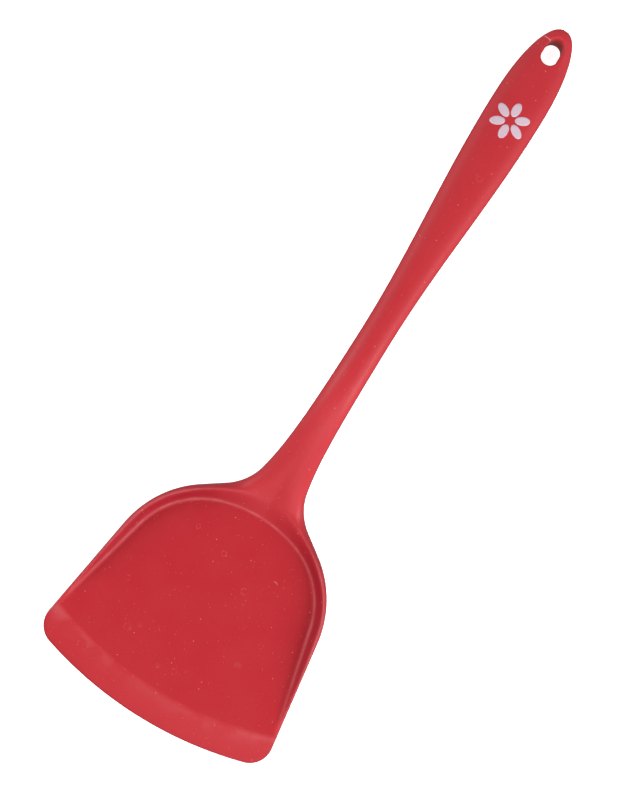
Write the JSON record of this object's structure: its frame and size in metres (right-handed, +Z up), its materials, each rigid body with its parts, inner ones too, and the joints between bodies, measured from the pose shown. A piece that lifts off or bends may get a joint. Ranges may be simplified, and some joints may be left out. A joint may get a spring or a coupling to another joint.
{
  "type": "silicone turner",
  "caption": "One-piece silicone kitchen turner: a wide flat blade with low side rims and a thin front lip, on an arched oval handle with a hanging hole.",
  "frame": {"origin": "centre of the footprint, on the surface that the turner lies on", "axes": "+Y from the blade along the handle to its tip, +Z up on the food side, +X across the blade"},
  "size_m": [0.1094, 0.3348, 0.0393],
  "materials": {
    "silicone": "satin moulded silicone, red",
    "steel": "rolled spring steel, perforated",
    "nylon": "glass-filled nylon, matt",
    "rivet_steel": "turned steel",
    "ink": "thin matt silicone ink, pale pink"
  },
  "bodies": {
    "root": {"silicone_skin": "silicone", "blade_insert": "steel", "core_upper_half": "nylon", "core_lower_half": "nylon", "core_rivets": "rivet_steel", "printed_mark": "ink"}
  },
  "joints": []
}
